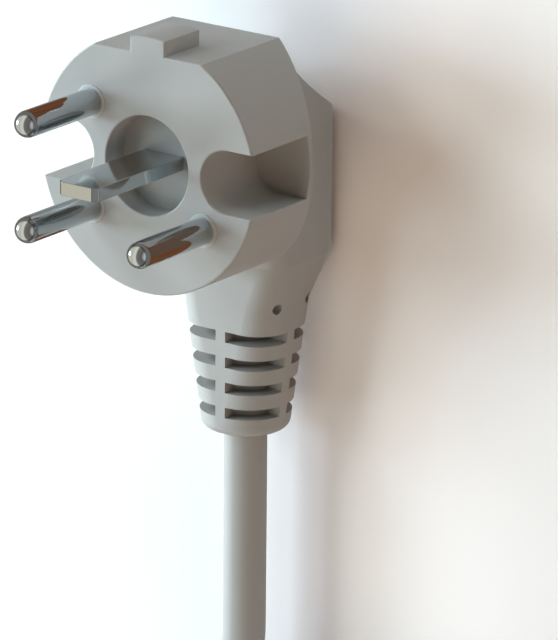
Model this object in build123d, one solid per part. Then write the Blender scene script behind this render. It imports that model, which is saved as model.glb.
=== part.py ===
from build123d import *
import math
import os

os.makedirs("parts", exist_ok=True)

# Moulded plug, in millimetres. X runs across the plug, Y up its face towards the key, and Z out of the face.
# The origin is on the disc's axis, in the flat back of the housing, which is what the plug lies on.

# The disc and its face
body_depth = 41.0
disc_radius = 23.2
disc_rim_depth = 17.3
disc_middle_depth = 22.8
flat_height = 20.1
key_width = 7.4
key_length = 10.1
edge_round = 0.3
cut_clearance = 1.0

# The side notches and the recess in the middle of the face
notch_width = 11.4
notch_reach = 11.65
notch_depth = 16.3
recess_radius = 8.94
recess_depth = 5.0

# The housing behind the disc
housing_width = 24.4
housing_corner = 4.0
back_top = 3.1
back_bottom = 22.5
slope_start = 17.3
slope_middle_y = 9.5
slope_middle_z = 9.65
housing_overlap = 3.8

# The neck with its strain relief
cable_height = 11.3
neck_front = 19.0
neck_overlap = 6.5
shoulder_y = 30.5
shoulder_width = 20.8
shoulder_depth = 15.8
shoulder_corner = 5.0
neck_reach = 55.4
neck_end_diameter = 15.6
neck_end_round = 2.0
neck_end_flat = 0.16
slot_count = 4
slot_first_y = 36.6
slot_pitch = 4.73
slot_height = 2.0
slot_web = 2.1
slot_floor_wall = 1.5
locating_hole_radius = 1.0
locating_hole_spacing = 9.0
locating_hole_depth = 3.4

# The round pins and the flat blade
pin_radius = 2.4
pin_length = 20.15
pin_spacing_x = 24.32
pin_spacing_y = 19.0
pin_shank_radius = 2.0
pin_flange_radius = 2.75
pin_flange_thickness = 1.5
pin_barrel_radius = 1.6
pin_barrel_length = 4.0
blade_width = 8.5
blade_thickness = 2.5
blade_length = 20.0
blade_corner_bevel = 1.0
blade_edge_bevel = 0.2
blade_tail = 6.0

# The insert that holds them
collar_radius = 3.05
collar_rise = 0.2
collar_edge_round = 0.15
plate_depth = 7.5
plate_thickness = 3.5
plate_hub_radius = 9.3
plate_arm_width = 4.4

# The terminal on the blade's tail and its rivet
tag_thickness = 0.8
tag_width = 5.2
tag_overlap = 5.8
tag_barrel_radius = 1.35
tag_barrel_length = 4.3
tag_barrel_drop = 0.65
tag_barrel_overlap = 0.5
rivet_radius = 1.0
rivet_head_radius = 1.8
rivet_head_height = 0.6

# The lead
cord_radius = 3.9
sheath_bore = 3.0
sheath_end_y = 30.0
core_radius = 1.2
core_offset = 1.25
core_bend = 9.0
conductor_radius = 0.65
conductor_grip = 3.5
bare_length = 1.0
fan_y = 27.0
fan_rise = 3.5

# The lead's free length: how it is wound up, and how its far end is stripped
coil_mean_radius = 39.0
coil_last_turn = 264.0
run_end_gap = 8.0
arc_share = 0.45
strip_length = 17.0
strand_length = 8.0
tie_width = 4.8
tie_thickness = 1.3
tie_angle = 180.0
tie_head = (5.0, 7.0, 6.0)

# Planes and places that follow from them
face_z = body_depth
recess_floor_z = face_z - recess_depth
plate_top_z = face_z - plate_depth
plate_bottom_z = plate_top_z - plate_thickness
barrel_mouth_z = plate_bottom_z - pin_barrel_length
blade_tail_z = plate_bottom_z - blade_tail
tag_barrel_mouth_z = blade_tail_z + tag_barrel_overlap - tag_barrel_length
tag_barrel_y = -(blade_thickness / 2 + tag_thickness + tag_barrel_drop)
rivet_z = (plate_bottom_z + blade_tail_z) / 2
pin_x = pin_spacing_x / 2
pin_y = pin_spacing_y / 2
buried_z = face_z - disc_middle_depth + housing_overlap
cord_diameter = 2 * cord_radius
outer_lane = coil_mean_radius + cord_radius
inner_lane = coil_mean_radius - cord_radius
coil_middle_z = 1.5 * cord_diameter
far = 200.0


def box_between(low, high):
    """A plain block from its lowest to its highest corner."""
    size = [h - l for l, h in zip(low, high)]
    middle = [(h + l) / 2 for l, h in zip(low, high)]
    return Pos(*middle) * Box(*size)


def rod_z(radius, x, y, low, high):
    """A round rod along Z."""
    return Pos(x, y, (low + high) / 2) * Cylinder(radius, high - low)


def rod_y(radius, x, z, low, high):
    """A round rod along Y."""
    return Pos(x, (low + high) / 2, z) * Rot(90, 0, 0) * Cylinder(radius, high - low)


def tube_along(path, radius):
    """A round solid swept along a path of straight runs and tangent arcs."""
    start = Plane(origin=path @ 0, z_dir=path % 0)
    return sweep(start * Circle(radius), path=path)


def disc():
    """The round disc, with roof-shaped back, a flat on top and the key left standing on the flat."""
    rim_z = face_z - disc_rim_depth
    middle_z = face_z - disc_middle_depth
    middle_x = math.sqrt(disc_radius**2 - flat_height**2)
    outline = Polyline(
        (-disc_radius, face_z),
        (disc_radius, face_z),
        (disc_radius, rim_z),
        (middle_x, middle_z),
        (-middle_x, middle_z),
        (-disc_radius, rim_z),
        close=True,
    )
    prism = extrude(Plane.XZ * make_face(outline), disc_radius, both=True)
    blank = prism & rod_z(disc_radius, 0, 0, 0, face_z)
    above = box_between((-far, flat_height, 0), (far, far, face_z))
    key = box_between((-key_width / 2, flat_height, face_z - key_length), (key_width / 2, far, face_z))
    return blank - (above - key)


def notch(side):
    """The space of one side notch: round-ended, open at the face and at the disc's side."""
    half = notch_width / 2
    centre = notch_reach + half
    low, high = face_z - notch_depth, face_z + cut_clearance
    end = rod_z(half, side * centre, 0, low, high)
    inner, outer = sorted((side * centre, side * 2 * disc_radius))
    return end + box_between((inner, -half, low), (outer, half, high))


def housing():
    """The narrower housing behind the disc, with its curved slope down to the flat back."""
    half = housing_width / 2
    slope_top = (slope_start, face_z - disc_middle_depth)
    slope = ThreePointArc(slope_top, (slope_middle_y, slope_middle_z), (back_top, 0))
    rest = Polyline((back_top, 0), (-back_bottom, 0), (-back_bottom, buried_z), (slope_start, buried_z), slope_top)
    solid = extrude(Plane.YZ * make_face(Curve() + [slope, rest]), half, both=True)
    back_edges = solid.edges().filter_by(Axis.Y).group_by(Axis.Z)[0]
    solid = fillet(back_edges, housing_corner)
    return solid - box_between((-far, -far, -far), (far, neck_overlap - back_bottom, far))


def neck_section(y, width, low_z, high_z, corner):
    """One cross section of the neck: a rounded rectangle in a plane square to the lead."""
    plane = Plane(origin=(0, -y, (low_z + high_z) / 2), x_dir=(1, 0, 0), z_dir=(0, -1, 0))
    return plane * RectangleRounded(width, high_z - low_z, corner)


def neck():
    """The neck: the housing's section drawn in at the shoulder, then tapered to the round end."""
    half = neck_end_diameter / 2
    shoulder_low = cable_height - shoulder_depth / 2
    shoulder_high = cable_height + shoulder_depth / 2
    sections = [
        neck_section(back_bottom - neck_overlap, housing_width, 0, buried_z, housing_corner),
        neck_section(back_bottom, housing_width, 0, neck_front, housing_corner),
        neck_section(shoulder_y, shoulder_width, shoulder_low, shoulder_high, shoulder_corner),
        neck_section(neck_reach, 2 * half, cable_height - half, cable_height + half, half - neck_end_flat / 2),
    ]
    solid = loft(sections, ruled=True)
    return fillet(solid.faces().sort_by(Axis.Y)[0].edges(), neck_end_round)


def strain_relief_slots():
    """The four rows of slots, each cut in four by the webs, down to a wall round the lead."""
    webs = box_between((-slot_web / 2, -far, -far), (slot_web / 2, far, far))
    webs += box_between((-far, -far, cable_height - slot_web / 2), (far, far, cable_height + slot_web / 2))
    core = rod_y(cord_radius + slot_floor_wall, 0, cable_height, -far, 0)
    slots = []
    for row in range(slot_count):
        y = -(slot_first_y + row * slot_pitch)
        slab = box_between((-far, y - slot_height / 2, -far), (far, y + slot_height / 2, far))
        slots.append(slab - webs - core)
    return slots


def locating_holes():
    """The small holes that the mould's locating pins leave in both sides of the shoulder."""
    inner = shoulder_width / 2 - locating_hole_depth
    holes = []
    for side in (-1, 1):
        for rise in (-locating_hole_spacing / 2, locating_hole_spacing / 2):
            place = Pos(side * (inner + far / 2), -shoulder_y, cable_height + rise)
            holes.append(place * Rot(0, 90, 0) * Cylinder(locating_hole_radius, far))
    return holes


def moulded_body(contents):
    """The overmoulded body in one piece, moulded tight round all that it holds."""
    solid = disc() + housing() + neck()
    for side in (-1, 1):
        solid -= notch(side)
    solid -= rod_z(recess_radius, 0, 0, recess_floor_z, face_z + cut_clearance)
    face_edges = solid.faces().filter_by(Axis.Z).sort_by(Axis.Z)[-1].edges()
    solid = fillet(face_edges, edge_round)
    for slot in strain_relief_slots():
        solid -= slot
    for hole in locating_holes():
        solid -= hole
    for piece in contents:
        solid -= piece
    return solid


def pin_blank(x, y):
    """A turned pin before it is bored: round nose, shank, flange, and a crimp barrel at its lower end."""
    seat_z = face_z + collar_rise
    nose_z = face_z + pin_length - pin_radius
    flange_z = plate_bottom_z + plate_thickness / 2
    solid = rod_z(pin_radius, x, y, seat_z, nose_z)
    solid += Pos(x, y, nose_z) * Sphere(pin_radius)
    solid += rod_z(pin_shank_radius, x, y, plate_bottom_z, seat_z)
    solid += rod_z(
        pin_flange_radius, x, y, flange_z - pin_flange_thickness / 2, flange_z + pin_flange_thickness / 2
    )
    return solid + rod_z(pin_barrel_radius, x, y, barrel_mouth_z, plate_bottom_z)


def crimp_bore(x, y, mouth_z):
    """The bore in a crimp barrel, pressed tight round the conductor."""
    return rod_z(conductor_radius, x, y, mouth_z, mouth_z + conductor_grip)


def earth_blade():
    """The flat blade: a bar with the corners of its tip bevelled, standing on the recess floor."""
    x, y = blade_width / 2, blade_thickness / 2
    bar = box_between((-x, -y, blade_tail_z), (x, y, face_z + blade_length))
    corners = bar.edges().group_by(Axis.Z)[-1].filter_by(Axis.Y)
    bar = chamfer(corners, blade_corner_bevel)
    long_edges = bar.edges().group_by(Axis.Z)[-1].filter_by(Axis.X)
    return chamfer(long_edges, blade_edge_bevel)


def tag_blank():
    """The sheet terminal on the blade's tail, with its crimp barrel below it, before it is bored."""
    front_y = -blade_thickness / 2
    x, top_z = tag_width / 2, blade_tail_z + tag_overlap
    sheet = box_between((-x, front_y - tag_thickness, blade_tail_z), (x, front_y, top_z))
    barrel_top_z = tag_barrel_mouth_z + tag_barrel_length
    return sheet + rod_z(tag_barrel_radius, 0, tag_barrel_y, tag_barrel_mouth_z, barrel_top_z)


def earth_rivet():
    """The rivet through the tag and the blade's tail, with a head on each side."""
    front_y = -blade_thickness / 2 - tag_thickness
    rear_y = blade_thickness / 2
    solid = rod_y(rivet_radius, 0, rivet_z, front_y, rear_y)
    solid += rod_y(rivet_head_radius, 0, rivet_z, front_y - rivet_head_height, front_y)
    solid += rod_y(rivet_head_radius, 0, rivet_z, rear_y, rear_y + rivet_head_height)
    return solid


def pin_carrier(held):
    """The hard insert: a plate with a hub for the blade and, at each pin, a collar that comes to the face."""
    solid = rod_z(plate_hub_radius, 0, 0, plate_bottom_z, plate_top_z)
    for x, y in pin_places.values():
        arm_low = (min(x, 0), y - plate_arm_width / 2, plate_bottom_z)
        arm_high = (max(x, 0), y + plate_arm_width / 2, plate_top_z)
        solid += box_between(arm_low, arm_high)
        solid += rod_z(collar_radius, x, y, plate_bottom_z, face_z + collar_rise)
    collar_edges = solid.edges().filter_by(GeomType.CIRCLE).group_by(Axis.Z)[-1]
    solid = fillet(collar_edges, collar_edge_round)
    for piece in held:
        solid -= piece
    return solid


def core_routes():
    """The four cores' paths, from the neck's end to the barrel that each is crimped in."""
    low, high = cable_height - core_offset, cable_height + core_offset
    left, right = -core_offset, core_offset
    end_z = barrel_mouth_z - bare_length
    turn_z = end_z - fan_rise
    earth_end_z = tag_barrel_mouth_z - bare_length
    return {
        "brown": [
            (left, -neck_reach, high),
            (left, -fan_y, high),
            (-3.0, -12.0, 17.0),
            (-8.0, 3.0, 20.0),
            (-pin_x, pin_y, turn_z),
            (-pin_x, pin_y, end_z),
        ],
        "black": [
            (left, -neck_reach, low),
            (left, -fan_y, low),
            (-5.0, -18.0, 13.0),
            (-pin_x, -pin_y, turn_z),
            (-pin_x, -pin_y, end_z),
        ],
        "blue": [
            (right, -neck_reach, high),
            (right, -fan_y, high),
            (5.0, -18.0, 15.0),
            (pin_x, -pin_y, turn_z),
            (pin_x, -pin_y, end_z),
        ],
        "green_yellow": [
            (right, -neck_reach, low),
            (right, -fan_y, low),
            (0.0, -9.0, 10.5),
            (0.0, tag_barrel_y, earth_end_z - fan_rise),
            (0.0, tag_barrel_y, earth_end_z),
        ],
    }


def rounded_path(points, largest=far):
    """Straight runs joined by tangent arcs, each as large as its two runs allow, and their radii."""
    radii = []
    for before, corner, after in zip(points, points[1:], points[2:]):
        run_in = Vector(*corner) - Vector(*before)
        run_out = Vector(*after) - Vector(*corner)
        half_turn = math.radians(run_in.get_angle(run_out)) / 2
        radius = arc_share * min(run_in.length, run_out.length) / math.tan(half_turn)
        radii.append(min(radius, largest))
    return FilletPolyline(*points, radius=radii), radii


def core(points):
    """One core as a plain rod, and the conductor in it, which runs on bare into its crimp barrel."""
    path, radii = rounded_path(points, core_bend)
    x, y, z = points[-1]
    longer = points[:-1] + [(x, y, z + bare_length + conductor_grip)]
    return tube_along(path, core_radius), tube_along(FilletPolyline(*longer, radius=radii), conductor_radius)


def sheath_end():
    """The lead's sheath where it runs on inside the neck."""
    outer = rod_y(cord_radius, 0, cable_height, -neck_reach, -sheath_end_y)
    return outer - rod_y(sheath_bore, 0, cable_height, -neck_reach, -sheath_end_y)


def cord_route():
    """The free lead's route: straight out of the neck, then aside to where it joins the coil."""
    return [
        (0.0, -neck_reach, cable_height),
        (0.0, -99.0, 11.3),
        (-3.1, -110.6, 11.7),
        (-9.1, -121.0, 12.0),
    ]


def at_turn(shape, angle):
    """Turns a shape drawn at the coil's side, about its axis, to an angle from where the lead joins it."""
    before, last = [Vector(x, y) for x, y, z in cord_route()[-2:]]
    heading = (last - before).normalized()
    outward = Vector(heading.Y, -heading.X)
    centre = last + heading * run_end_gap - outward * outer_lane
    start = math.degrees(math.atan2(outward.Y, outward.X))
    return Pos(centre.X, centre.Y, 0) * Rot(0, 0, start + angle) * shape


def stacked(wide, high, inset=0.0):
    """The outline round turns that lie stacked in the coil's section, or a line inside it."""
    width = wide * cord_diameter - 2 * inset
    height = high * cord_diameter - 2 * inset
    return RectangleRounded(width, height, cord_radius - inset)


def wound_turns():
    """The outer shape of the wound lead: two lanes of three turns, of which the last stops in a flat end."""
    whole = Pos(coil_mean_radius, coil_middle_z) * stacked(2, 3)
    inner_column = Pos(inner_lane, coil_middle_z) * SlotOverall(3 * cord_diameter, cord_diameter, rotation=90)
    rest = Pos(coil_mean_radius, 2 * cord_diameter) * stacked(2, 2) + inner_column
    before_end = revolve(Plane.XZ * whole, Axis.Z, coil_last_turn)
    past_end = revolve(Plane.XZ * rest, Axis.Z, 360 - coil_last_turn)
    return at_turn(before_end, 0) + at_turn(past_end, coil_last_turn)


def tie_band():
    """The tie's band, sunk into the turns that it pulls together."""
    ring = Pos(coil_mean_radius, coil_middle_z) * (stacked(2, 3) - stacked(2, 3, tie_thickness))
    span = math.degrees(tie_width / coil_mean_radius)
    return at_turn(revolve(Plane.XZ * ring, Axis.Z, span), tie_angle - span / 2)


def tie_lock():
    """The tie's square head, on the outside of the coil."""
    length, width, height = tie_head
    reach = outer_lane + cord_radius - tie_thickness
    return at_turn(Pos(reach + length / 2, 0, coil_middle_z) * Box(length, width, height), tie_angle)


def far_end(index):
    """One stripped core and its tinned strand, straight on from where the last turn stops."""
    x = outer_lane + (index % 2 * 2 - 1) * core_offset
    z = cord_radius + (index // 2 * 2 - 1) * core_offset
    insulated = rod_y(core_radius, x, z, 0, strip_length)
    strand = rod_y(conductor_radius, x, z, strip_length, strip_length + strand_length)
    return at_turn(insulated, coil_last_turn), at_turn(strand, coil_last_turn)


# The pieces, from the pins outwards
pin_places = {
    "pin_upper_left": (-pin_x, pin_y),
    "pin_lower_left": (-pin_x, -pin_y),
    "pin_lower_right": (pin_x, -pin_y),
}
nodes = {}
blanks = []
for name, (x, y) in pin_places.items():
    blank = pin_blank(x, y)
    blanks.append(blank)
    nodes[name] = blank - crimp_bore(x, y, barrel_mouth_z)
nodes["earth_rivet"] = earth_rivet()
nodes["earth_blade"] = earth_blade() - nodes["earth_rivet"]
blank = tag_blank() - nodes["earth_rivet"]
nodes["earth_tag"] = blank - crimp_bore(0, tag_barrel_y, tag_barrel_mouth_z)
blanks += [nodes["earth_rivet"], nodes["earth_blade"], blank]
nodes["pin_carrier"] = pin_carrier(blanks)

cavities = blanks + [nodes["pin_carrier"]]
for name, points in core_routes().items():
    rod, conductor = core(points)
    nodes[name + "_core"] = rod - conductor
    nodes[name + "_conductor"] = conductor
    cavities += [rod, conductor]
nodes["sheath_end"] = sheath_end()
cavities.append(rod_y(cord_radius, 0, cable_height, -neck_reach - cord_radius, -sheath_end_y))
nodes["moulded_body"] = moulded_body(cavities)

# The lead outside the plug
cord_path, cord_radii = rounded_path(cord_route())
nodes["cord_run"] = tube_along(cord_path, cord_radius)
coil = wound_turns()
band = tie_band()
nodes["cable_tie"] = band + (tie_lock() - coil)
nodes["cord_coil"] = coil - nodes["cord_run"] - band
for index, name in enumerate(core_routes()):
    nodes["end_core_" + name], nodes["end_strand_" + name] = far_end(index)

section = math.pi * cord_radius**2
whole_turns = 2 * math.pi * (2 * outer_lane + 3 * inner_lane)
last_turn = math.radians(coil_last_turn) * outer_lane
cord_total = cord_path.length + run_end_gap + whole_turns + last_turn + strip_length + strand_length
print("cord bends, radius in mm:", [round(radius, 1) for radius in cord_radii])
print("cord run volume over section times length:", nodes["cord_run"].volume / (section * cord_path.length))
print("cord length from the neck to its end in mm:", round(cord_total, 1))

for name, solid in nodes.items():
    export_step(solid, "parts/" + name + ".step")
    print(name, len(solid.solids()), round(solid.volume, 1), solid.is_valid)
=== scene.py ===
import math

import bpy
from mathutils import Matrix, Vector


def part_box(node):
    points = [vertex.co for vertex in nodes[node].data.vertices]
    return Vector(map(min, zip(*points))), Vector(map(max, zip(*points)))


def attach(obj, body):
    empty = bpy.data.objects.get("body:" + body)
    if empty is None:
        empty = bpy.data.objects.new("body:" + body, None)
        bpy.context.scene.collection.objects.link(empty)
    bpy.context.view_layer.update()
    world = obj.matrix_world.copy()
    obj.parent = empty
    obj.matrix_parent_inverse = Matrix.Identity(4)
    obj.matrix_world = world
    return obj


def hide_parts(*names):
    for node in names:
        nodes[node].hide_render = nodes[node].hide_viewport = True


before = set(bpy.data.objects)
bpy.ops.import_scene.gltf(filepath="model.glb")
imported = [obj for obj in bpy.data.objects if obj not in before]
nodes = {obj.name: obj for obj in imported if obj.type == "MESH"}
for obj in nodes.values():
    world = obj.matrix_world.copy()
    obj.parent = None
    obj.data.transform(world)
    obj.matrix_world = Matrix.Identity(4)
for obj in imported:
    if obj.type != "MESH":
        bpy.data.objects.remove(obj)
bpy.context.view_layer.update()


# Round pins: three pins turned from brass rod, nickel plated and polished. Each has a round nose,
# stands on the collar of the hard insert, and goes down through it to a flange and a crimp barrel.

def deselect_all():
    """Leaves nothing selected, so that an operator acts only on what is made next."""
    if bpy.context.mode != "OBJECT":
        bpy.ops.object.mode_set(mode="OBJECT")
    bpy.ops.object.select_all(action="DESELECT")


def edit(piece):
    """Opens one piece in edit mode with nothing selected."""
    deselect_all()
    piece.select_set(True)
    bpy.context.view_layer.objects.active = piece
    bpy.ops.object.mode_set(mode="EDIT")
    bpy.ops.mesh.select_mode(type="VERT")
    bpy.ops.mesh.select_all(action="DESELECT")


def settle(piece, name):
    """Names a finished piece and moves its place into its mesh."""
    if bpy.context.mode != "OBJECT":
        bpy.ops.object.mode_set(mode="OBJECT")
    deselect_all()
    piece.select_set(True)
    bpy.context.view_layer.objects.active = piece
    bpy.ops.object.transform_apply(location=True, rotation=True, scale=True)
    piece.name = name
    piece.data.name = name
    return piece


def new_material(name, colour, roughness, metallic=0.0):
    """A principled material with its plain values on the shader's own sockets."""
    made = bpy.data.materials.new(name)
    made.use_nodes = True
    shader = made.node_tree.nodes["Principled BSDF"]
    shader.inputs["Base Color"].default_value = (*colour, 1.0)
    shader.inputs["Roughness"].default_value = roughness
    shader.inputs["Metallic"].default_value = metallic
    return made


def add_noise(made, scale, detail=3.0):
    """A noise texture on the piece's own coordinates."""
    tree = made.node_tree
    place = tree.nodes.get("Texture Coordinate") or tree.nodes.new("ShaderNodeTexCoord")
    noise = tree.nodes.new("ShaderNodeTexNoise")
    noise.inputs["Scale"].default_value = scale
    noise.inputs["Detail"].default_value = detail
    tree.links.new(place.outputs["Object"], noise.inputs["Vector"])
    return noise


def colour_ramp(tree, stops):
    """A colour ramp from its places and what it gives there, each a colour or a plain level."""
    ramp = tree.nodes.new("ShaderNodeValToRGB")
    elements = ramp.color_ramp.elements
    while len(elements) < len(stops):
        elements.new(0.5)
    for element, (place, tone) in zip(elements, stops):
        element.position = place
        element.color = (*tone, 1.0) if isinstance(tone, tuple) else (tone, tone, tone, 1.0)
    return ramp


def vary(made, noise, socket, low, high):
    """Lets a noise move one of the shader's sockets between two values, or two colours."""
    tree = made.node_tree
    ramp = colour_ramp(tree, ((0.3, low), (0.7, high)))
    tree.links.new(noise.outputs["Fac"], ramp.inputs["Fac"])
    tree.links.new(ramp.outputs["Color"], tree.nodes["Principled BSDF"].inputs[socket])


def add_bump(made, noise, distance):
    """A fine unevenness of the surface, in metres."""
    tree = made.node_tree
    bump = tree.nodes.new("ShaderNodeBump")
    bump.inputs["Distance"].default_value = distance
    tree.links.new(noise.outputs["Fac"], bump.inputs["Height"])
    tree.links.new(bump.outputs["Normal"], tree.nodes["Principled BSDF"].inputs["Normal"])


nickel = new_material("polished_nickel", (0.53, 0.56, 0.575), 0.06, metallic=1.0)
vary(nickel, add_noise(nickel, 900.0), "Roughness", 0.045, 0.085)


def turned_pin(name):
    """A pin's half outline, spun about its axis. Its place and both ends come from the solid of its name."""
    low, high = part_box(name)
    x, y = (low.x + high.x) / 2, (low.y + high.y) / 2
    nose_radius, shank, flange, barrel = 0.0024, 0.0020, 0.00275, 0.0016
    flange_low, flange_high, plate_low, seat = 0.0310, 0.0325, 0.0300, 0.0412
    edge, weld = 0.00008, 0.000004
    outline = [(0.0, low.z), (barrel - edge, low.z), (barrel, low.z + edge), (barrel, plate_low)]
    outline += [(shank, plate_low), (shank, flange_low), (flange, flange_low), (flange, flange_high)]
    outline += [(shank, flange_high), (shank, seat), (nose_radius - edge, seat), (nose_radius, seat + edge)]
    steps, spin_steps = 16, 96
    for step in range(steps + 1):
        turn = math.pi / 2 * step / steps
        reach = nose_radius * math.cos(turn) if step < steps else 0.0
        outline.append((reach, high.z - nose_radius + nose_radius * math.sin(turn)))
    mesh = bpy.data.meshes.new(name)
    edges = [(i, i + 1) for i in range(len(outline) - 1)]
    mesh.from_pydata([(x + r, y, z) for r, z in outline], edges, [])
    pin = bpy.data.objects.new(name + "_plated", mesh)
    bpy.context.scene.collection.objects.link(pin)
    edit(pin)
    bpy.ops.mesh.select_all(action="SELECT")
    bpy.ops.mesh.spin(steps=spin_steps, angle=2 * math.pi, center=(x, y, 0), axis=(0, 0, 1))
    bpy.ops.mesh.select_all(action="SELECT")
    bpy.ops.mesh.remove_doubles(threshold=weld)
    bpy.ops.mesh.normals_make_consistent(inside=False)
    bpy.ops.object.mode_set(mode="OBJECT")
    bpy.ops.object.shade_smooth_by_angle(angle=math.radians(35))
    return settle(pin, name + "_plated")


for pin_name in ("pin_upper_left", "pin_lower_left", "pin_lower_right"):
    plated_pin = turned_pin(pin_name)
    plated_pin.data.materials.append(nickel)
    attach(plated_pin, "root")
    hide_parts(pin_name)


# Earth blade: a flat brass bar, plated and polished like the pins, with its tip's corners bevelled.
# Its tail goes down through the insert, and the earth tag is riveted to it below.

blade_low, blade_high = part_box("earth_blade")
corner_bevel = 0.001
blade_edge = 0.00015


def bevel_edges(piece, wanted, width):
    """Bevels the edges of a mesh whose two ends both pass a test."""
    edit(piece)
    bpy.ops.mesh.select_mode(type="EDGE")
    bpy.ops.object.mode_set(mode="OBJECT")
    places = [vertex.co for vertex in piece.data.vertices]
    for edge in piece.data.edges:
        edge.select = wanted(places[edge.vertices[0]], places[edge.vertices[1]])
    bpy.ops.object.mode_set(mode="EDIT")
    bpy.ops.mesh.bevel(offset=width, segments=1, affect="EDGES")
    bpy.ops.object.mode_set(mode="OBJECT")


def on_tip_corner(a, b):
    """Whether an edge runs along Y at the blade's tip."""
    return min(a.z, b.z) > blade_high.z - blade_edge and abs(a.x - b.x) < blade_edge


deselect_all()
bpy.ops.mesh.primitive_cube_add(size=1.0, location=(blade_low + blade_high) / 2)
blade = bpy.context.object
blade.scale = blade_high - blade_low
blade = settle(blade, "earth_blade_plated")
bevel_edges(blade, on_tip_corner, corner_bevel)
deselect_all()
blade.select_set(True)
bpy.context.view_layer.objects.active = blade
bpy.ops.object.shade_smooth()
rounding = blade.modifiers.new("edges", "BEVEL")
rounding.width = blade_edge
rounding.segments = 3
rounding.limit_method = "ANGLE"
rounding.angle_limit = math.radians(30)
rounding.harden_normals = True
bpy.ops.object.modifier_apply(modifier="edges")
blade.data.materials.append(nickel)
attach(blade, "root")
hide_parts("earth_blade")


# Earth tag and rivet: a stamped brass terminal on the blade's tail and the rivet through both. They are
# buried in the moulded body, and keep the solids' own shape with a stamped brass finish.

stamped_brass = new_material("stamped_brass", (0.72, 0.56, 0.28), 0.3, metallic=1.0)
vary(stamped_brass, add_noise(stamped_brass, 1200.0), "Roughness", 0.22, 0.38)


def dress(name, material):
    """Gives a solid of the frame its material."""
    nodes[name].data.materials.clear()
    nodes[name].data.materials.append(material)


dress("earth_tag", stamped_brass)
dress("earth_rivet", stamped_brass)


# Hard insert: light grey plastic, moulded first with the pins and the blade in it. Of it only the three
# collars show, as a light ring that stands a little proud of the face round each pin.

insert_plastic = new_material("insert_plastic", (0.62, 0.64, 0.63), 0.38)
vary(insert_plastic, add_noise(insert_plastic, 500.0), "Roughness", 0.33, 0.43)
dress("pin_carrier", insert_plastic)


# Moulded body: grey plastic moulded in one shot over the insert, the cores and the end of the sheath.
# Its surface is smooth and satin, with the faint unevenness of a polished mould. The neck's slots and
# the recess have painted shade inside, because they look deeper in the photo than they are here.

body_plastic = new_material("body_plastic", (0.50, 0.496, 0.477), 0.42)
body_low, body_high = (0.493, 0.490, 0.471), (0.507, 0.502, 0.483)
vary(body_plastic, add_noise(body_plastic, 60.0, 2.0), "Base Color", body_low, body_high)
add_bump(body_plastic, add_noise(body_plastic, 2600.0, 4.0), 0.000006)


def hollow_shade(made, middle, across, near, far, darkest):
    """Paints shade near an axis: the colour is multiplied from the darkest factor at one distance up to none
    at another.
    """
    tree = made.node_tree
    shift = tree.nodes.new("ShaderNodeVectorMath")
    shift.operation = "SUBTRACT"
    shift.inputs[1].default_value = middle
    flatten = tree.nodes.new("ShaderNodeVectorMath")
    flatten.operation = "MULTIPLY"
    flatten.inputs[1].default_value = across
    distance = tree.nodes.new("ShaderNodeVectorMath")
    distance.operation = "LENGTH"
    fade = tree.nodes.new("ShaderNodeMapRange")
    fade.inputs["From Min"].default_value = near
    fade.inputs["From Max"].default_value = far
    fade.inputs["To Min"].default_value = darkest
    darker = tree.nodes.new("ShaderNodeMix")
    darker.data_type = "RGBA"
    darker.blend_type = "MULTIPLY"
    darker.inputs["Factor"].default_value = 1.0
    colour = tree.nodes["Principled BSDF"].inputs["Base Color"]
    tree.links.new(tree.nodes["Texture Coordinate"].outputs["Object"], shift.inputs[0])
    tree.links.new(shift.outputs["Vector"], flatten.inputs[0])
    tree.links.new(flatten.outputs["Vector"], distance.inputs[0])
    tree.links.new(distance.outputs["Value"], fade.inputs["Value"])
    tree.links.new(colour.links[0].from_socket, darker.inputs[6])
    tree.links.new(fade.outputs["Result"], darker.inputs[7])
    tree.links.new(darker.outputs[2], colour)


# Painted shade inside the neck's slots, round the lead's axis, and inside the recess.
neck_axis, across_neck = (0.0, 0.0, 0.0113), (1.0, 0.0, 1.0)
slots_dark, slots_clear, slots_darkest = 0.0056, 0.0073, 0.55
hollow_shade(body_plastic, neck_axis, across_neck, slots_dark, slots_clear, slots_darkest)
recess_middle, across_recess = (0.0, 0.0, 0.0360), (1.0, 1.0, 1.8)
recess_dark, recess_clear, recess_darkest = 0.0088, 0.0099, 0.78
hollow_shade(body_plastic, recess_middle, across_recess, recess_dark, recess_clear, recess_darkest)
dress("moulded_body", body_plastic)


# Cores: four insulated copper conductors inside the plug. They fan out from the sheath's end to the
# crimp barrels, and the colours are those of a supply lead.

def insulation(name, colour):
    """The insulation of one core, slightly glossy."""
    made = new_material(name, colour, 0.4)
    add_bump(made, add_noise(made, 1500.0), 0.00001)
    return made


core_materials = {
    "brown": insulation("brown_insulation", (0.2, 0.09, 0.04)),
    "black": insulation("black_insulation", (0.02, 0.02, 0.02)),
    "blue": insulation("blue_insulation", (0.03, 0.13, 0.45)),
    "green_yellow": insulation("green_yellow_insulation", (0.55, 0.6, 0.06)),
}
bare_copper = new_material("bare_copper", (0.72, 0.35, 0.2), 0.3, metallic=1.0)
vary(bare_copper, add_noise(bare_copper, 2000.0), "Roughness", 0.22, 0.4)
tinned_wire = new_material("tinned_wire", (0.7, 0.7, 0.68), 0.3, metallic=1.0)
vary(tinned_wire, add_noise(tinned_wire, 2000.0), "Roughness", 0.22, 0.4)
for core_name, core_material in core_materials.items():
    dress(core_name + "_core", core_material)
    dress(core_name + "_conductor", bare_copper)
    dress("end_core_" + core_name, core_material)
    dress("end_strand_" + core_name, tinned_wire)


# Lead: a round four-core supply lead with a grey flexible sheath, 7.8 mm across and about 1.5 m long.
# It leaves the neck straight, and past the view it turns aside into a tied coil of six stacked turns.

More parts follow.
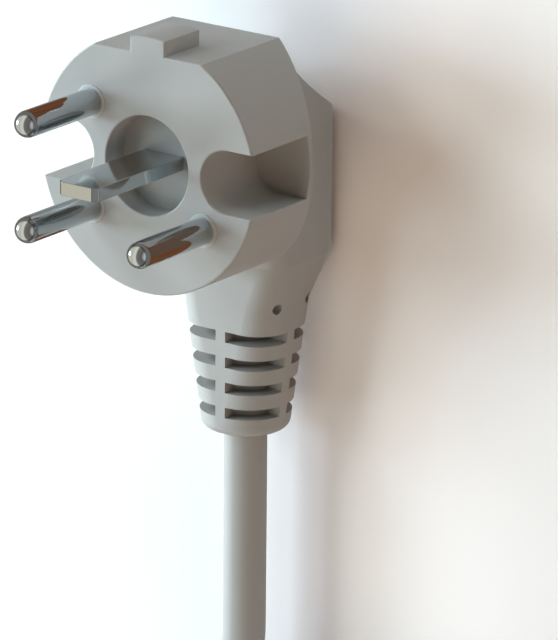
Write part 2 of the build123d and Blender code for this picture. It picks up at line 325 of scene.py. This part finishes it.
sheath_grey = new_material("sheath_grey", (0.495, 0.490, 0.472), 0.45)
sheath_low, sheath_high = (0.486, 0.482, 0.465), (0.506, 0.500, 0.481)
vary(sheath_grey, add_noise(sheath_grey, 90.0, 2.0), "Base Color", sheath_low, sheath_high)
add_bump(sheath_grey, add_noise(sheath_grey, 1400.0), 0.00001)
dress("sheath_end", sheath_grey)

lead_diameter = 0.0078
lead_radius = lead_diameter / 2
lead_exit = (0.0, -0.0554, 0.0113)
route = [lead_exit, (0.0, -0.087, 0.0113), (0.0, -0.099, 0.0113)]
route += [(-0.0031, -0.1106, 0.0117), (-0.0091, -0.121, 0.0120)]

coil_low, coil_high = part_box("cord_coil")
coil_place = Vector(((coil_low.x + coil_high.x) / 2, (coil_low.y + coil_high.y) / 2, 0.0))
outer_lane = 0.0429
turn_pitch = lead_diameter * 1.005
middle_height = lead_radius + turn_pitch
coil_start = math.radians(150)
last_turn = math.radians(264)
whole_turns = 5
points_per_turn = 36
next_turn_lies = [math.radians(bearing) for bearing in (180, 90, 180, 270, 270, 360, 360)]
crossing_angle = math.radians(60)
tie_angle = math.radians(180)
tie_lift = 0.0014
lift_span, lift_start = math.radians(80), 1.25


def eased(share):
    """A smooth step from 0 to 1."""
    share = min(max(share, 0.0), 1.0)
    return share * share * (3 - 2 * share)


def crossed(left):
    """How far a turn has moved over to its next place, from 0 to 1, at an angle left before its end.
    It crosses in a straight line, which starts softly."""
    if left >= crossing_angle:
        return 0.0
    softness = 0.25
    straight = 1 - (1 / math.cos(left) - 1) * outer_lane / turn_pitch
    return (straight + math.hypot(straight, softness)) / (1 + math.hypot(1.0, softness))


def turn_place(turn, share):
    """Radius and height of a turn, which rolls round the turn before it as it crosses."""
    radius = outer_lane + turn_pitch * (1 - share)
    height = middle_height
    for before, after in list(zip(next_turn_lies, next_turn_lies[1:]))[:turn]:
        bearing = before + (after - before) * share
        radius += turn_pitch * math.cos(bearing)
        height += turn_pitch * math.sin(bearing)
    return radius, height


def near_tie(wound):
    """How much the tie's strap lifts the turns: 1 up to 20 degrees from it, and 0 beyond 100."""
    apart = abs((wound - tie_angle + math.pi) % (2 * math.pi) - math.pi)
    return eased(lift_start - apart / lift_span)


control_share = math.cos(math.pi / points_per_turn)
all_points = round(points_per_turn * (whole_turns + last_turn / (2 * math.pi)))
for step in range(all_points + 1):
    wound = 2 * math.pi * min(step + 0.5, all_points) / points_per_turn
    turn = min(int(wound / (2 * math.pi)) + 1, whole_turns + 1)
    left = 2 * math.pi * turn - wound
    radius, height = turn_place(turn, crossed(left))
    height += tie_lift * near_tie(wound)
    reach = radius / control_share if step < all_points else radius
    direction = Vector((math.cos(coil_start + wound), math.sin(coil_start + wound), 0.0))
    route.append(tuple(coil_place + direction * reach + Vector((0.0, 0.0, height))))

line = bpy.data.curves.new("supply_lead", "CURVE")
line.dimensions = "3D"
line.bevel_depth = lead_radius
line.bevel_resolution = 12
line.resolution_u = 6
line.use_fill_caps = True
spline = line.splines.new("NURBS")
spline.points.add(len(route) - 1)
for point, place in zip(spline.points, route):
    point.co = (*place, 1.0)
spline.order_u = 3
spline.use_endpoint_u = True
spline.use_smooth = True
lead = bpy.data.objects.new("supply_lead", line)
bpy.context.scene.collection.objects.link(lead)
lead.data.materials.append(sheath_grey)
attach(lead, "root")
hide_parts("cord_run", "cord_coil")


# Cable tie: a natural nylon tie pulled tight round the six turns of the coil. Its strap runs through
# the square head on the outside, and the spare end is cut off short above it.

tie_nylon = new_material("tie_nylon", (0.8, 0.8, 0.77), 0.35)
vary(tie_nylon, add_noise(tie_nylon, 300.0), "Roughness", 0.3, 0.42)

tie_width = 0.0048
strap_thickness = 0.0012
tie_bearing = coil_start + tie_angle
tie_outward = Vector((math.cos(tie_bearing), math.sin(tie_bearing), 0.0))
tie_along = Vector((-tie_outward.y, tie_outward.x, 0.0))
strap_clearance = 0.00005
strap_round = lead_radius + strap_clearance + strap_thickness / 2
strap_middle = coil_place + tie_outward * (outer_lane - turn_pitch / 2)
strap_middle.z = middle_height + tie_lift
corner_steps = 8


def by_the_coil(aside, up):
    """A place in the coil's section at the tie, measured from the middle of the turns."""
    return strap_middle + tie_outward * aside + Vector((0.0, 0.0, up))


strap_outline = []
for corner, (aside, up) in enumerate(((1, 1), (-1, 1), (-1, -1), (1, -1))):
    for step in range(corner_steps + 1):
        bend = math.pi / 2 * (corner + step / corner_steps)
        corner_aside = aside * turn_pitch / 2 + strap_round * math.cos(bend)
        corner_up = up * turn_pitch + strap_round * math.sin(bend)
        strap_outline.append(tuple(by_the_coil(corner_aside, corner_up) - tie_along * tie_width / 2))
strap_mesh = bpy.data.meshes.new("tie_strap")
strap_count = len(strap_outline)
strap_edges = [(i, (i + 1) % strap_count) for i in range(strap_count)]
strap_mesh.from_pydata(strap_outline, strap_edges, [])
strap = bpy.data.objects.new("tie_strap", strap_mesh)
bpy.context.scene.collection.objects.link(strap)
edit(strap)
bpy.ops.mesh.select_all(action="SELECT")
bpy.ops.mesh.extrude_region_move(TRANSFORM_OT_translate={"value": tie_along * tie_width})
bpy.ops.mesh.select_all(action="SELECT")
bpy.ops.mesh.normals_make_consistent(inside=False)
bpy.ops.object.mode_set(mode="OBJECT")
thicken = strap.modifiers.new("thickness", "SOLIDIFY")
thicken.thickness = strap_thickness
thicken.offset = 0.0
bpy.ops.object.modifier_apply(modifier="thickness")

head_size = (0.0044, 0.0068, 0.0058)
head_wall, head_slot_depth = 0.0008, 0.0012
head_aside = turn_pitch / 2 + strap_round + strap_thickness / 2 + 0.0021
spare_size = (strap_thickness, 0.0046, 0.0075)
spare_up = 0.0045


def tie_block(name, up, size):
    """A block of the tie on the outside of its strap: its thickness, width and height."""
    deselect_all()
    place = by_the_coil(head_aside, up)
    bpy.ops.mesh.primitive_cube_add(size=1.0, location=place, rotation=(0.0, 0.0, tie_bearing))
    block = bpy.context.object
    block.scale = size
    return settle(block, name)


head = tie_block("tie_head", 0.0, head_size)
edit(head)
bpy.ops.mesh.select_mode(type="FACE")
bpy.ops.object.mode_set(mode="OBJECT")
for face in head.data.polygons:
    face.select = face.normal.z > 0.9
bpy.ops.object.mode_set(mode="EDIT")
bpy.ops.mesh.inset(thickness=head_wall)
bpy.ops.mesh.extrude_region_move(TRANSFORM_OT_translate={"value": (0.0, 0.0, -head_slot_depth)})
bpy.ops.object.mode_set(mode="OBJECT")
spare_end = tie_block("tie_spare_end", spare_up, spare_size)

deselect_all()
for part_of_tie in (head, spare_end, strap):
    part_of_tie.select_set(True)
bpy.context.view_layer.objects.active = strap
bpy.ops.object.join()
tie = settle(strap, "cable_tie_nylon")
soft_edge = tie.modifiers.new("edges", "BEVEL")
soft_edge.width = 0.00015
soft_edge.segments = 2
soft_edge.limit_method = "ANGLE"
soft_edge.angle_limit = math.radians(40)
bpy.ops.object.modifier_apply(modifier="edges")
bpy.ops.object.shade_smooth_by_angle(angle=math.radians(35))
tie.data.materials.append(tie_nylon)
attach(tie, "root")
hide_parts("cable_tie")


# Stripped end: where the last turn ends, the four cores come out of the sheath, each with a tinned strand
# end. The green and yellow one has a stripe along it.

stripe_outward = Vector((math.cos(coil_start + last_turn), math.sin(coil_start + last_turn), 0.0))
core_offset = 0.00125
half_stripe = 0.0005
striped = core_materials["green_yellow"].node_tree
stripe_place = striped.nodes.new("ShaderNodeTexCoord")
across_core = striped.nodes.new("ShaderNodeVectorMath")
across_core.operation = "DOT_PRODUCT"
across_core.inputs[1].default_value = stripe_outward
from_middle = striped.nodes.new("ShaderNodeMath")
from_middle.operation = "SUBTRACT"
from_middle.inputs[1].default_value = coil_place.dot(stripe_outward) + outer_lane + core_offset
either_side = striped.nodes.new("ShaderNodeMath")
either_side.operation = "ABSOLUTE"
in_stripe = striped.nodes.new("ShaderNodeMath")
in_stripe.operation = "LESS_THAN"
in_stripe.inputs[1].default_value = half_stripe
stripe_colours = striped.nodes.new("ShaderNodeMix")
stripe_colours.data_type = "RGBA"
stripe_colours.inputs[6].default_value = (0.04, 0.26, 0.05, 1.0)
stripe_colours.inputs[7].default_value = (0.80, 0.62, 0.03, 1.0)
striped.links.new(stripe_place.outputs["Object"], across_core.inputs[0])
striped.links.new(across_core.outputs["Value"], from_middle.inputs[0])
striped.links.new(from_middle.outputs["Value"], either_side.inputs[0])
striped.links.new(either_side.outputs["Value"], in_stripe.inputs[0])
striped.links.new(in_stripe.outputs["Value"], stripe_colours.inputs["Factor"])
striped.links.new(stripe_colours.outputs[2], striped.nodes["Principled BSDF"].inputs["Base Color"])

on_the_lead = [tie]
for core_name in core_materials:
    on_the_lead += [nodes["end_core_" + core_name], nodes["end_strand_" + core_name]]


# Studio: a pale floor that the camera sees with painted light and shade, brighter towards the right, soft
# panels of light over the left, weaker warm light from the front and right, and a surround of brown, grey
# and cream that only mirrored rays see.

floor_size, floor_drop = 6.0, 0.00002
deselect_all()
bpy.ops.mesh.primitive_plane_add(size=floor_size, location=(0.0, 0.0, -floor_drop))
floor = bpy.context.object
floor.name = "studio_floor"
floor_paint = bpy.data.materials.new("floor_paint")
floor_paint.use_nodes = True
floor_tree = floor_paint.node_tree
floor_shader = floor_tree.nodes["Principled BSDF"]
floor_shader.inputs["Base Color"].default_value = (0.9, 0.88, 0.86, 1.0)
floor_shader.inputs["Roughness"].default_value = 0.9
floor_shader.inputs["Specular IOR Level"].default_value = 0.1
path_of_ray = floor_tree.nodes.new("ShaderNodeLightPath")

# The floor that the camera sees has painted shadow along the plug's middle and painted light growing towards
# the right.
painted_light_bsdf = floor_tree.nodes.new("ShaderNodeBsdfDiffuse")
floor_place = floor_tree.nodes.new("ShaderNodeTexCoord")
floor_parts = floor_tree.nodes.new("ShaderNodeSeparateXYZ")
floor_width = floor_tree.nodes.new("ShaderNodeMapRange")
floor_width.inputs["From Min"].default_value = -0.01
floor_width.inputs["From Max"].default_value = 0.06
painted_light_stops = [(0.0, (1.04, 1.01, 0.985)), (0.14, (0.98, 0.925, 0.91)), (0.36, (1.09, 1.015, 0.985))]
painted_light_stops += [(0.64, (1.19, 1.11, 1.07)), (1.0, (1.19, 1.13, 1.09))]
painted_light_ramp = colour_ramp(floor_tree, painted_light_stops)
floor_tree.links.new(floor_place.outputs["Object"], floor_parts.inputs["Vector"])
floor_tree.links.new(floor_parts.outputs["X"], floor_width.inputs["Value"])
floor_tree.links.new(floor_width.outputs["Result"], painted_light_ramp.inputs["Fac"])
floor_tree.links.new(painted_light_ramp.outputs["Color"], painted_light_bsdf.inputs["Color"])
seen_look = floor_tree.nodes.new("ShaderNodeMixShader")
floor_tree.links.new(path_of_ray.outputs["Is Camera Ray"], seen_look.inputs["Fac"])
floor_tree.links.new(floor_shader.outputs["BSDF"], seen_look.inputs[1])
floor_tree.links.new(painted_light_bsdf.outputs["BSDF"], seen_look.inputs[2])

# The floor that the metal mirrors glows: a strip across the plug's middle in grey, darker on the right as
# painted shadow, with brown above and below it, and grey far out.
mirrored_glow = floor_tree.nodes.new("ShaderNodeEmission")
mirrored_glow.inputs["Strength"].default_value = 1.0
brown_grain = floor_tree.nodes.new("ShaderNodeTexNoise")
brown_grain.inputs["Scale"].default_value = 45.0
brown_grain.inputs["Detail"].default_value = 3.0
brown_tones = colour_ramp(floor_tree, ((0.42, (0.14, 0.068, 0.044)), (0.56, (0.24, 0.088, 0.040))))
floor_tree.links.new(floor_place.outputs["Object"], brown_grain.inputs["Vector"])
floor_tree.links.new(brown_grain.outputs["Fac"], brown_tones.inputs["Fac"])


def floor_band(axis, stops):
    """A black and white band across the floor, from its places in metres and their levels."""
    half_span = 0.1
    parts = floor_tree.nodes.new("ShaderNodeSeparateXYZ")
    reach = floor_tree.nodes.new("ShaderNodeMapRange")
    reach.inputs["From Min"].default_value = -half_span
    reach.inputs["From Max"].default_value = half_span
    shares = [((place + half_span) / (2 * half_span), level) for place, level in stops]
    band = colour_ramp(floor_tree, shares)
    floor_tree.links.new(floor_place.outputs["Object"], parts.inputs["Vector"])
    floor_tree.links.new(parts.outputs[axis], reach.inputs["Value"])
    floor_tree.links.new(reach.outputs["Result"], band.inputs["Fac"])
    return band


def blend(factor, first, second):
    """Mixes two colours of the floor, each a node or a plain colour."""
    made = floor_tree.nodes.new("ShaderNodeMix")
    made.data_type = "RGBA"
    floor_tree.links.new(factor.outputs["Color"], made.inputs["Factor"])
    for socket, tone in ((6, first), (7, second)):
        if isinstance(tone, tuple):
            made.inputs[socket].default_value = (*tone, 1.0)
        else:
            floor_tree.links.new(tone, made.inputs[socket])
    return made.outputs[2]


light_strip = floor_band("Y", ((-0.031, 0.0), (-0.025, 1.0), (0.025, 1.0), (0.030, 0.0)))
# Painted shadow: right of the plug the mirrored strip turns dark brown.
painted_shadow_right = floor_band("X", ((0.018, 0.0), (0.028, 1.0)))
middle_tones = blend(painted_shadow_right, (0.34, 0.38, 0.40), (0.16, 0.11, 0.08))
near_tones = blend(light_strip, brown_tones.outputs["Color"], middle_tones)
nearness = floor_tree.nodes.new("ShaderNodeTexGradient")
nearness.gradient_type = "SPHERICAL"
near_scale = floor_tree.nodes.new("ShaderNodeMapping")
near_scale.inputs["Scale"].default_value = (5.0, 5.0, 5.0)
near_edge = colour_ramp(floor_tree, ((0.45, 0.0), (0.58, 1.0)))
floor_tree.links.new(floor_place.outputs["Object"], near_scale.inputs["Vector"])
floor_tree.links.new(near_scale.outputs["Vector"], nearness.inputs["Vector"])
floor_tree.links.new(nearness.outputs["Fac"], near_edge.inputs["Fac"])
mirrored_tones = blend(near_edge, (0.24, 0.23, 0.21), near_tones)
floor_tree.links.new(mirrored_tones, mirrored_glow.inputs["Color"])
mirrored_look = floor_tree.nodes.new("ShaderNodeMixShader")
floor_tree.links.new(path_of_ray.outputs["Is Glossy Ray"], mirrored_look.inputs["Fac"])
floor_tree.links.new(seen_look.outputs["Shader"], mirrored_look.inputs[1])
floor_tree.links.new(mirrored_glow.outputs["Emission"], mirrored_look.inputs[2])
floor_tree.links.new(mirrored_look.outputs["Shader"], floor_tree.nodes["Material Output"].inputs["Surface"])
floor.data.materials.append(floor_paint)

# The air lights the plug faintly. Mirrored rays see it cream on the left and grey on the right, and
# darker near the horizon.
world = bpy.data.worlds.new("studio_air")
bpy.context.scene.world = world
world.use_nodes = True
world_tree = world.node_tree
faint_air = world_tree.nodes["Background"]
faint_air.inputs["Color"].default_value = (1.0, 0.9, 0.8, 1.0)
faint_air.inputs["Strength"].default_value = 0.02
cream_air = world_tree.nodes.new("ShaderNodeBackground")
cream_air.inputs["Strength"].default_value = 1.0
air_place = world_tree.nodes.new("ShaderNodeTexCoord")
air_parts = world_tree.nodes.new("ShaderNodeSeparateXYZ")
far_left, cream, bright_cream = (0.9, 0.9, 0.8), (0.84, 0.78, 0.62), (1.0, 1.0, 0.92)
grey, brown_grey, far_right = (0.28, 0.26, 0.23), (0.19, 0.17, 0.15), (0.70, 0.71, 0.74)
air_tones = [(0.04, far_left), (0.22, cream), (0.34, bright_cream), (0.46, bright_cream)]
air_tones += [(0.54, grey), (0.86, brown_grey), (0.96, far_right)]
across = colour_ramp(world_tree, air_tones)
upwards = colour_ramp(world_tree, ((0.54, 0.28), (0.62, 1.0)))
half_way = world_tree.nodes.new("ShaderNodeVectorMath")
half_way.operation = "MULTIPLY_ADD"
half_way.inputs[1].default_value = (0.5, 0.5, 0.5)
half_way.inputs[2].default_value = (0.5, 0.5, 0.5)
air_tone = world_tree.nodes.new("ShaderNodeMix")
air_tone.data_type = "RGBA"
air_tone.blend_type = "MULTIPLY"
air_tone.inputs["Factor"].default_value = 1.0
world_tree.links.new(air_place.outputs["Generated"], half_way.inputs[0])
world_tree.links.new(half_way.outputs["Vector"], air_parts.inputs["Vector"])
world_tree.links.new(air_parts.outputs["X"], across.inputs["Fac"])
world_tree.links.new(air_parts.outputs["Z"], upwards.inputs["Fac"])
world_tree.links.new(across.outputs["Color"], air_tone.inputs[6])
world_tree.links.new(upwards.outputs["Color"], air_tone.inputs[7])
world_tree.links.new(air_tone.outputs[2], cream_air.inputs["Color"])
ray_in_air = world_tree.nodes.new("ShaderNodeLightPath")
air_look = world_tree.nodes.new("ShaderNodeMixShader")
world_tree.links.new(ray_in_air.outputs["Is Glossy Ray"], air_look.inputs["Fac"])
world_tree.links.new(faint_air.outputs["Background"], air_look.inputs[1])
world_tree.links.new(cream_air.outputs["Background"], air_look.inputs[2])
world_tree.links.new(air_look.outputs["Shader"], world_tree.nodes["World Output"].inputs["Surface"])

studio_reach = 0.7
plug_middle = 0.02


def around(elevation, bearing):
    """A place at an elevation over the floor and a bearing from the left towards the top, in degrees."""
    up, aside = math.radians(elevation), math.radians(bearing)
    flat = studio_reach * math.cos(up)
    return (-flat * math.cos(aside), flat * math.sin(aside), studio_reach * math.sin(up) + plug_middle)


def add_soft_light(name, place, width, height, power, colour, mirrored=False):
    """A rectangular lamp that faces the plug. The metal shows it only where mirrored is true."""
    lamp = bpy.data.lights.new(name, "AREA")
    lamp.shape = "RECTANGLE"
    lamp.size = width
    lamp.size_y = height
    lamp.energy = power
    lamp.color = colour
    holder = bpy.data.objects.new(name, lamp)
    bpy.context.scene.collection.objects.link(holder)
    holder.visible_glossy = mirrored
    holder.location = place
    holder.rotation_mode = "QUATERNION"
    towards_plug = Vector((0.0, 0.0, plug_middle)) - Vector(place)
    holder.rotation_quaternion = towards_plug.to_track_quat("-Z", "Y")


panel = 0.22
high_tint, low_tint = (0.80, 0.945, 1.0), (0.77, 0.93, 1.0)
add_soft_light("key_panel", around(28, 5), panel, panel, 2.0, (0.55, 0.76, 1.0), mirrored=True)
for bearing, power in ((-30, 0.71), (5, 1.02), (40, 0.87)):
    add_soft_light(f"high_panel_{bearing}", around(48, bearing), panel, panel, power, high_tint)
for bearing, power in ((-30, 0.52), (40, 0.51)):
    add_soft_light(f"low_panel_{bearing}", around(28, bearing), panel, panel, power, low_tint)
add_soft_light("rim_panel", (-0.7, -0.02, 0.06), 0.5, 0.11, 6.0, (0.92, 1.0, 1.0))
add_soft_light("front_panel", (0.1, -0.5, 1.0), 0.9, 0.9, 2.6, (1.0, 0.87, 0.69))
add_soft_light("right_panel", around(30, 190), panel, panel, 0.60, (1.0, 0.70, 0.54))
add_soft_light("top_panel", around(20, 90), panel, panel, 0.54, (1.0, 0.95, 0.88))
add_soft_light("lead_panel", around(20, 270), panel, panel, 0.42, (1.0, 1.0, 1.0))

camera_data = bpy.data.cameras.new("photo_camera")
camera_data.lens = 370.8
camera_data.sensor_width = 36.0
camera_data.clip_start = 0.01
camera_data.clip_end = 20.0
camera = bpy.data.objects.new("photo_camera", camera_data)
bpy.context.scene.collection.objects.link(camera)
camera.location = (0.661315, 0.323449, 0.915639)
camera.rotation_euler = (math.radians(-17.402), math.radians(36.040), math.radians(0.620))
bpy.context.scene.camera = camera
bpy.context.scene.view_settings.view_transform = "Standard"
